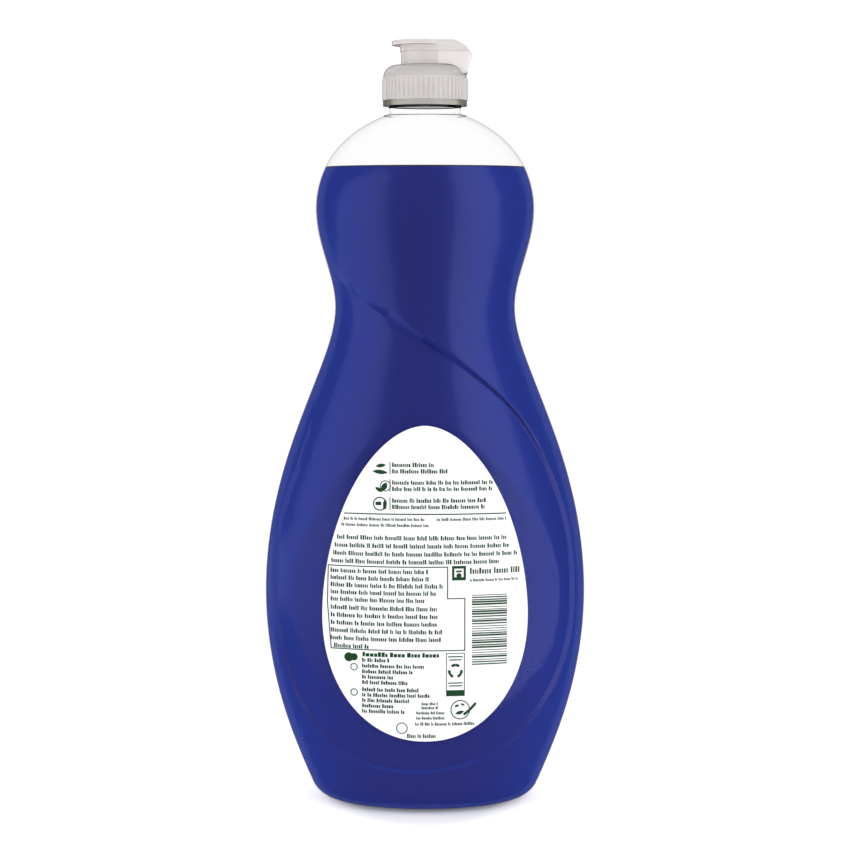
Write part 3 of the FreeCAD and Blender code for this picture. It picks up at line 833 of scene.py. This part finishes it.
def ridge(half_width, half_depth, z, rise, half_height, reach, least):
    """A half-round ridge round the front and sides that thins out between two angles towards the back."""
    points = []
    profile = [(math.cos(turn), math.sin(turn)) for turn in np.linspace(-math.pi / 2, math.pi / 2, 9)]
    profile += [(-0.3, 0.8), (-0.3, -0.8)]
    for step in range(RIDGE_STEPS):
        angle = 2 * math.pi * step / RIDGE_STEPS
        away = abs(math.degrees((angle + math.pi / 2 + math.pi) % (2 * math.pi) - math.pi))
        size = 1 - (1 - least) * float(smooth_step((away - reach[0]) / (reach[1] - reach[0])))
        for out, up in profile:
            grow = out * rise * size
            points.append((
                (half_width + grow) * math.cos(angle), (half_depth + grow) * math.sin(angle),
                z + up * half_height * size,
            ))
    return points, skin(RIDGE_STEPS, len(profile), looped=True)


WEB_HALF_WIDTH = 3.4
WEB_LINE = ((14.25, 257.2), (14.5, 257.8), (14.7, 258.3), (14.85, 258.8), (15.0, 259.4))
WEB_HALF_THICKNESS = 0.14
SHOULDER_RADIUS = 14.65


def hinge_web():
    """A thin curved strip from the closure's dome to the lid's back wall, at the hinge."""
    points = []
    across = np.linspace(-WEB_HALF_WIDTH, WEB_HALF_WIDTH, 9)
    line = np.array(WEB_LINE)
    along = np.gradient(line, axis=0)
    along /= np.hypot(*along.T)[:, None]
    loop = [(row, 1) for row in range(len(line))] + [(row, -1) for row in reversed(range(len(line)))]
    for y in across:
        back = SHOULDER_RADIUS - math.sqrt(SHOULDER_RADIUS ** 2 - y * y)
        for row, side in loop:
            x = line[row, 0] + side * WEB_HALF_THICKNESS * along[row, 1] - back
            points.append((x, y, line[row, 1] - side * WEB_HALF_THICKNESS * along[row, 0]))
    return points, [face[::-1] for face in skin(len(across), len(loop))]


# ---- materials ----

def new_material(name):
    material = bpy.data.materials.new(name)
    material.use_nodes = True
    material.node_tree.nodes.clear()
    return material, material.node_tree


def add(tree, kind, operation=None, **values):
    """A shader node (kind without ShaderNode) with its sockets set by name, _ for a space, or number: i0, i1.

    A value is a constant, another node's output socket, or another node for its first output."""
    node = tree.nodes.new("ShaderNode" + kind)
    if operation:
        node.operation = operation
    for name, value in values.items():
        numbered = name[0] == "i" and name[1:].isdigit()
        socket = node.inputs[int(name[1:]) if numbered else name.replace("_", " ")]
        if isinstance(value, bpy.types.Node):
            value = value.outputs[0]
        if isinstance(value, bpy.types.NodeSocket):
            tree.links.new(value, socket)
        else:
            socket.default_value = value
    return node


def finish_material(material, shader):
    """The material, with its shader joined up."""
    add(material.node_tree, "OutputMaterial", Surface=shader)
    return material


def mix(tree, share, first, second):
    """A shader that turns from the first into the second as share goes from 0 to 1."""
    return add(tree, "MixShader", i0=share, i1=first, i2=second)


def noise(tree, scale, detail):
    """Soft noise from 0 to 1, fixed to the object."""
    place = add(tree, "TexCoord").outputs["Object"]
    return add(tree, "TexNoise", Vector=place, Scale=scale, Detail=detail)


def grey(value):
    return (value, value, value, 1)


def ramp(tree, source, stops):
    """A ramp of (position, colour or share of white) stops."""
    node = add(tree, "ValToRGB", Fac=source)
    elements = node.color_ramp.elements
    while len(elements) < len(stops):
        elements.new(0.5)
    for element, (position, colour) in zip(elements, stops):
        element.position = position
        element.color = (*colour, 1) if isinstance(colour, tuple) else grey(colour)
    return node


def facing(tree):
    """0 where a surface faces the eye, 1 where it is seen edge on."""
    return add(tree, "LayerWeight", Blend=0.5).outputs["Facing"]


def clear_plastic():
    """Clear bottle plastic: see-through, faintly grey where the wall is seen edge on, glossy."""
    material, tree = new_material("clear_plastic")
    edge = facing(tree)
    tint = ramp(tree, edge, (
        (0.0, (0.998, 0.998, 0.998)), (0.5, (0.992, 0.988, 0.988)),
        (0.72, (0.955, 0.945, 0.945)), (0.88, (0.84, 0.82, 0.82)),
        (1.0, (0.50, 0.47, 0.47)),
    ))
    clear = add(tree, "BsdfTransparent", Color=tint)
    gloss = add(tree, "BsdfGlossy", Color=grey(1.0), Roughness=0.2)
    share = ramp(tree, edge, ((0.0, 0.015), (0.5, 0.017), (0.75, 0.028), (0.92, 0.05), (1.0, 0.13)))
    return finish_material(material, mix(tree, share, clear, gloss))


def inner_plastic():
    """The inner face of the clear wall: nearly nothing of it shows."""
    material, tree = new_material("clear_plastic_inside")
    return finish_material(material, add(tree, "BsdfTransparent", Color=(0.998, 0.997, 0.997, 1)))


# Heights between which painted light makes the liquid paler towards its foot, and between which the painted
# dark line at its rim sets in
FOOT_LIGHT_FROM, FOOT_LIGHT_TO = 85.0, 20.0
RIM_SHADE_FROM, RIM_SHADE_TO = 225.66, 225.76


def blue_liquid():
    """Deep blue detergent with a blue gloss: painted shade makes it darkest where it faces front or back, and
    painted light makes it paler near its foot.

    Its topmost rim, where the surface meets the wall, is a dark line of painted shade."""
    material, tree = new_material("blue_liquid")
    place = add(tree, "TexCoord")
    normal = add(tree, "SeparateXYZ", Vector=place.outputs["Normal"])
    depthwise = add(tree, "Math", "ABSOLUTE", i0=normal.outputs["Y"])
    level = add(tree, "Math", "MULTIPLY_ADD", i0=noise(tree, 14.0, 2.0), i1=0.03, i2=depthwise)
    # Painted shade: this ramp darkens the liquid where its surface faces front or back
    depth = ramp(tree, level, (
        (0.55, (0.0155, 0.0280, 0.185)), (0.80, (0.0175, 0.0255, 0.175)),
        (0.98, (0.0195, 0.0215, 0.125)),
    ))
    # Painted light: a paler copy of the tones, blended in towards the foot, where the liquid gets less light
    foot_lit_tone = ramp(tree, level, (
        (0.55, (0.0200, 0.0360, 0.235)), (0.80, (0.0225, 0.0325, 0.210)),
        (0.98, (0.0255, 0.0280, 0.163)),
    ))
    height = add(tree, "SeparateXYZ", Vector=place.outputs["Object"]).outputs["Z"]
    foot_light_share = add(tree, "MapRange", Value=height, From_Min=FOOT_LIGHT_FROM * MM, From_Max=FOOT_LIGHT_TO * MM)
    tone = add(tree, "Mix", i0=foot_light_share, i6=depth, i7=foot_lit_tone)
    tone.data_type = "RGBA"
    body = add(tree, "BsdfDiffuse", Color=tone.outputs[2])
    glow = add(tree, "BsdfGlossy", Color=(0.02, 0.12, 1.0, 1), Roughness=0.34)
    # Painted shade: a dark line where the liquid's surface meets the wall
    rim = add(tree, "BsdfDiffuse", Color=(0.035, 0.035, 0.012, 1))
    at_rim_shade = add(tree, "MapRange", Value=height, From_Min=RIM_SHADE_FROM * MM, From_Max=RIM_SHADE_TO * MM)
    return finish_material(material, mix(tree, at_rim_shade, mix(tree, 0.06, body, glow), rim))


def label_paper():
    """White label stock with a faint fibre."""
    material, tree = new_material("label_paper")
    fibre = noise(tree, 900.0, 3.0)
    tone = ramp(tree, fibre, ((0.0, 0.80), (1.0, 0.84)))
    bump = add(tree, "Bump", Strength=0.06, Distance=0.0001, Height=fibre)
    paper = add(tree, "BsdfPrincipled", Base_Color=tone, Roughness=0.5, IOR=1.3, Normal=bump)
    return finish_material(material, paper)


def green_ink():
    """Dark green print, very slightly uneven."""
    material, tree = new_material("green_ink")
    tone = ramp(tree, noise(tree, 1400.0, 2.0), ((0.0, (0.004, 0.046, 0.012)), (1.0, (0.008, 0.062, 0.020))))
    return finish_material(material, add(tree, "BsdfPrincipled", Base_Color=tone, Roughness=0.5, IOR=1.3))


# Painted shade: the neck bead and shoulder crease turn nearly black towards their edges, for the shade under
# the closure and the dark line at the shoulder
RIDGE_SHADE_TINTS = (
    (0.0, (0.45, 0.45, 0.43)), (0.08, (0.20, 0.20, 0.19)),
    (0.3, (0.04, 0.04, 0.03)), (1.0, (0.0, 0.0, 0.0)),
)
THREAD_TINTS = (
    (0.0, (0.97, 0.965, 0.965)), (0.4, (0.90, 0.89, 0.89)),
    (0.75, (0.66, 0.64, 0.64)), (1.0, (0.35, 0.33, 0.33)),
)


def clear_edges(name, tints):
    """Thick clear plastic of small ridges: brightest where it faces the eye, darker towards its edges; with
    the ridge tints, which are nearly black, that darkening is painted shade.
    """
    material, tree = new_material(name)
    tint = ramp(tree, facing(tree), tints)
    clear = add(tree, "BsdfTransparent", Color=tint)
    gloss = add(tree, "BsdfGlossy", Color=grey(1.0), Roughness=0.1)
    return finish_material(material, mix(tree, 0.02, clear, gloss))


def natural_plastic(name, clearness, colour, edge_tints):
    """Uncoloured moulded plastic: milky, a little see-through, and darker through its edges."""
    material, tree = new_material(name)
    bump = add(tree, "Bump", Strength=0.05, Distance=0.0002, Height=noise(tree, 260.0, 3.0))
    milk = add(tree, "BsdfPrincipled", Base_Color=(*colour, 1), Roughness=0.28, IOR=1.4, Normal=bump)
    edge = facing(tree)
    clear = add(tree, "BsdfTransparent", Color=ramp(tree, edge, edge_tints))
    share = ramp(tree, edge, ((0.0, clearness), (0.66, clearness), (0.88, 0.75), (1.0, 0.9)))
    return finish_material(material, mix(tree, share, milk, clear))


def polygon_heights(piece, polygon):
    """Heights of a polygon's corners, in millimetres."""
    return [piece.data.vertices[corner].co.z / MM for corner in polygon.vertices]


def paint(piece, *materials):
    piece.data.materials.clear()
    for material in materials:
        piece.data.materials.append(material)


# ---- pieces ----

BAND_TOP = 249.25
RIB_TOP = 256.6
LID_STEP = 266.4
LID_FLAT_START = 4.0
FLAT_FACING = 0.95
FLAT_LEAN = (0.15, 0.3)

phi, z, faces = flat_half()

made = shell(phi, z, faces)
bottle_mesh = made.points, made.faces, made.normals
bottle_shell = make_piece("bottle_shell", "bottle", bottle_mesh, clear_plastic(), inner_plastic())
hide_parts("bottle")
for polygon in bottle_shell.data.polygons[made.inner]:
    polygon.material_index = 1

made = contents(phi, z, faces)
detergent = make_piece("detergent", "liquid", (made.points, made.faces, made.normals), blue_liquid())
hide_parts("liquid")

label_piece = make_piece("label_face", "label", label(), label_paper())
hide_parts("back_label")
make_piece("label_marks", "label", label_print(), green_ink())
make_piece("neck_thread", "bottle", thread(), clear_edges("clear_thread", THREAD_TINTS))

# The bead and the crease carry painted shade, nearly black towards their edges
ridge_shade_plastic = clear_edges("clear_ridge_shade", RIDGE_SHADE_TINTS)
bead = ridge(NECK_RADIUS, NECK_RADIUS, BEAD_HEIGHT, BEAD_RISE, BEAD_HALF_HEIGHT, BEAD_REACH, BEAD_LEAST)
make_piece("neck_bead", "bottle", bead, ridge_shade_plastic)
width, depth = half_sizes_at(CREASE_HEIGHT)[:2]
crease = ridge(width, depth, CREASE_HEIGHT, CREASE_RISE, CREASE_RISE, CREASE_REACH, CREASE_LEAST)
make_piece("shoulder_crease", "bottle", crease, ridge_shade_plastic)

web_points, web_faces = hinge_web()
web = make_object("hinge_web", (np.array(web_points) * MM).tolist(), web_faces)
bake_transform(web)

CLOSURE_TINTS = (
    (0.0, (0.94, 0.93, 0.925)), (0.5, (0.86, 0.84, 0.835)),
    (0.8, (0.55, 0.53, 0.52)), (1.0, (0.25, 0.24, 0.23)),
)
# Painted shade: the foot band's tints turn dark green and nearly black towards its outline, for the dark
# refraction at the band's ends
FOOT_SHADE_TINTS = (
    (0.0, (0.95, 0.945, 0.93)), (0.32, (0.88, 0.88, 0.85)),
    (0.44, (0.22, 0.27, 0.14)), (0.8, (0.06, 0.09, 0.03)),
    (1.0, (0.02, 0.02, 0.01)),
)
closure_plastic = natural_plastic("closure_plastic", 0.45, (0.76, 0.725, 0.717), CLOSURE_TINTS)
# Painted shade: a darker copy of the closure plastic for the dome above the ribs
dome_shade_plastic = natural_plastic("closure_dome_shade", 0.45, (0.62, 0.59, 0.583), CLOSURE_TINTS)
# Painted highlight: a paler copy of the closure plastic for the lid's flats by the hinge
flat_highlight_plastic = natural_plastic("closure_flat_highlight", 0.45, (0.88, 0.85, 0.845), CLOSURE_TINTS)
# Painted shade: a darker, clearer copy of the closure plastic for the band below the ribs
foot_shade_plastic = natural_plastic("closure_foot_shade", 0.85, (0.60, 0.60, 0.56), FOOT_SHADE_TINTS)
cap_base, flip_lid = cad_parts["cap_base"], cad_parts["flip_lid"]
paint(cap_base, closure_plastic, foot_shade_plastic, dome_shade_plastic)
paint(flip_lid, closure_plastic, flat_highlight_plastic)
paint(web, closure_plastic)
paint(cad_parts["cap_liner"], natural_plastic("liner_foam", 0.05, (0.86, 0.86, 0.85), CLOSURE_TINTS))
# The band below the ribs gets index 1 and the dome above them index 2, both darker copies with painted shade
for polygon in cap_base.data.polygons:
    heights = polygon_heights(cap_base, polygon)
    polygon.material_index = 1 if max(heights) < BAND_TOP else 2 * int(min(heights) > RIB_TOP)

# The lid's two long flats by the hinge, facing front and back and leaning a little towards +X, are paler: a
# painted highlight
for polygon in flip_lid.data.polygons:
    flat = abs(polygon.normal.y) > FLAT_FACING and FLAT_LEAN[0] < polygon.normal.x < FLAT_LEAN[1]
    below_step = max(polygon_heights(flip_lid, polygon)) < LID_STEP
    polygon.material_index = int(flat and below_step and polygon.center.x > LID_FLAT_START * MM)

# ---- floor, light and camera ----

scene = bpy.context.scene

# Lengths are metres from here on. The floor shines a little, and more outside the bottle's footprint, so that
# only the contact shade stays dark: the shade is the floor's real shadow, with its edge painted by that
# ellipse of lower glow.
FLOOR_SIZE = 14
FLOOR_DROP = 0.0002
FOOTPRINT = (0.030, 0.043)

bpy.ops.mesh.primitive_plane_add(size=FLOOR_SIZE, location=(0, 0, -FLOOR_DROP))
floor = bpy.context.object
floor.name = "floor"
material, tree = new_material("floor_white")
path = add(tree, "LightPath")
white = add(tree, "BsdfDiffuse", Color=grey(0.85))
place = add(tree, "TexCoord").outputs["Object"]
shares = add(tree, "VectorMath", "DIVIDE", i0=place, i1=(*FOOTPRINT, 1))
away = add(tree, "VectorMath", "LENGTH", i0=shares).outputs["Value"]
glow_outside_shade = add(tree, "MapRange", Value=away, From_Min=0.85, From_Max=1.2, To_Min=0.14, To_Max=0.42)
sheet = add(tree, "AddShader", i0=white, i1=add(tree, "Emission", Strength=glow_outside_shade))
watched = path.outputs["Is Camera Ray"]
for kind in ("Is Glossy Ray", "Is Transmission Ray"):
    watched = add(tree, "Math", "MAXIMUM", i0=watched, i1=path.outputs[kind])
plain = add(tree, "BsdfDiffuse", Color=grey(0.9))
floor.visible_glossy = False
paint(floor, finish_material(material, mix(tree, watched, plain, sheet)))

# LAMP_POWER is a lamp's power for a radiance and an area of 1
FLAG_RADIUS = 1.9
FLAG_REACH = 125
FLAG_COLUMNS = 61
CARD_RADIUS = 0.4
SOFTBOX_DISTANCE = 1.2
LAMP_POWER = 4


def reflected_sheet(name, points, columns, shader_kind, sampling, **values):
    """A sheet of columns of points, seen only in reflections."""
    firsts = [i for i in range(len(points) - columns) if (i + 1) % columns]
    quads = [(i, i + 1, i + 1 + columns, i + columns) for i in firsts]
    made = make_object(name, points, quads)
    material, tree = new_material(name)
    material.cycles.emission_sampling = sampling
    paint(made, finish_material(material, add(tree, shader_kind, **values)))
    made.visible_camera = False
    made.visible_diffuse = False
    made.visible_shadow = False
    made.visible_transmission = False


def globe_point(radius, azimuth, rise):
    """A point round the bottle: azimuth 0 is -Y and 90 is +X, rise is above the level, both in degrees."""
    level = radius * math.cos(math.radians(rise))
    azimuth = math.radians(azimuth)
    return level * math.sin(azimuth), -level * math.cos(azimuth), radius * math.sin(math.radians(rise))


def upright_card(name, outline, radiance, sampling="AUTO"):
    """A curved upright sheet of light from rows of (azimuth, height of its foot, height of its head)."""
    azimuth, foot, head = np.array(outline).T
    along = np.linspace(azimuth[0], azimuth[-1], 25)
    points = []
    for share in (0, 1):
        for angle in along:
            low, high = np.interp(angle, azimuth, foot), np.interp(angle, azimuth, head)
            x, y = globe_point(CARD_RADIUS, angle, 0)[:2]
            points.append((x, y, float(low + share * (high - low))))
    reflected_sheet(name, points, len(along), "Emission", sampling, Strength=radiance)


around = np.linspace(-FLAG_REACH, FLAG_REACH, FLAG_COLUMNS)
flag_points = [globe_point(FLAG_RADIUS, angle, rise) for rise in np.linspace(-90, 90, 31) for angle in around]
reflected_sheet("flag", flag_points, FLAG_COLUMNS, "BsdfDiffuse", "NONE", Color=grey(0.02))

upright_card("card_left", (
    (-98.0, 0.0, 0.15), (-92.0, 0.0, 0.16), (-90.0, 0.0, 0.29),
    (-84.0, 0.0, 0.33), (-68.0, 0.0, 0.42), (-34.0, 0.0, 0.53),
), 1.0)
upright_card("card_left_low", ((-135.0, 0.0, 0.07), (-98.0, 0.0, 0.10)), 1.5)
upright_card("card_right", (
    (26.0, 0.0, 0.60), (50.0, 0.0, 0.60), (71.0, 0.0, 0.52), (73.0, 0.0, 0.14), (80.0, 0.0, 0.10),
), 1.5)
upright_card("card_right_foot", ((26.0, -0.06, 0.0), (80.0, -0.06, 0.0)), 1.5, "NONE")


def softbox(name, low_azimuth, high_azimuth, low_height, high_height, radiance):
    """An upright soft lamp facing the bottle's axis, unseen in reflections."""
    half_angle = math.radians((high_azimuth - low_azimuth) / 2)
    lamp = bpy.data.lights.new(name, "AREA")
    lamp.shape = "RECTANGLE"
    lamp.size = 2 * SOFTBOX_DISTANCE * math.tan(half_angle)
    lamp.size_y = high_height - low_height
    lamp.energy = radiance * LAMP_POWER * lamp.size * lamp.size_y
    made = bpy.data.objects.new(name, lamp)
    x, y = globe_point(SOFTBOX_DISTANCE, (low_azimuth + high_azimuth) / 2, 0)[:2]
    made.location = (x, y, (low_height + high_height) / 2)
    made.rotation_euler = Vector((-x, -y, 0)).to_track_quat("-Z", "Y").to_euler()
    scene.collection.objects.link(made)
    made.visible_camera = False
    made.visible_glossy = False


softbox("softbox_left", -93, -39, 0.05, 1.25, 1.15)
softbox("softbox_right", 27, 85, 0.05, 1.6, 1.15)

BACKDROP_STRENGTH = 1.04
FOCAL_LENGTH = 89.4
CAMERA_PLACE = (0, -0.750, 0.208)
CAMERA_AIM = (0, 0, 0.13455)

world = bpy.data.worlds.new("studio")
scene.world = world
world.use_nodes = True
tree = world.node_tree
tree.nodes.clear()
lit = add(tree, "Background", Color=grey(1.0), Strength=1.0)
backdrop = add(tree, "Background", Color=grey(1.0), Strength=BACKDROP_STRENGTH)
seen = mix(tree, add(tree, "LightPath").outputs["Is Camera Ray"], lit, backdrop)
add(tree, "OutputWorld", Surface=seen)

lens = bpy.data.cameras.new("camera")
lens.lens = FOCAL_LENGTH
lens.sensor_width = 36
camera = bpy.data.objects.new("camera", lens)
camera.location = CAMERA_PLACE
camera.rotation_euler = (Vector(CAMERA_AIM) - camera.location).to_track_quat("-Z", "Y").to_euler()
scene.collection.objects.link(camera)
scene.camera = camera

scene.view_settings.view_transform = "Standard"
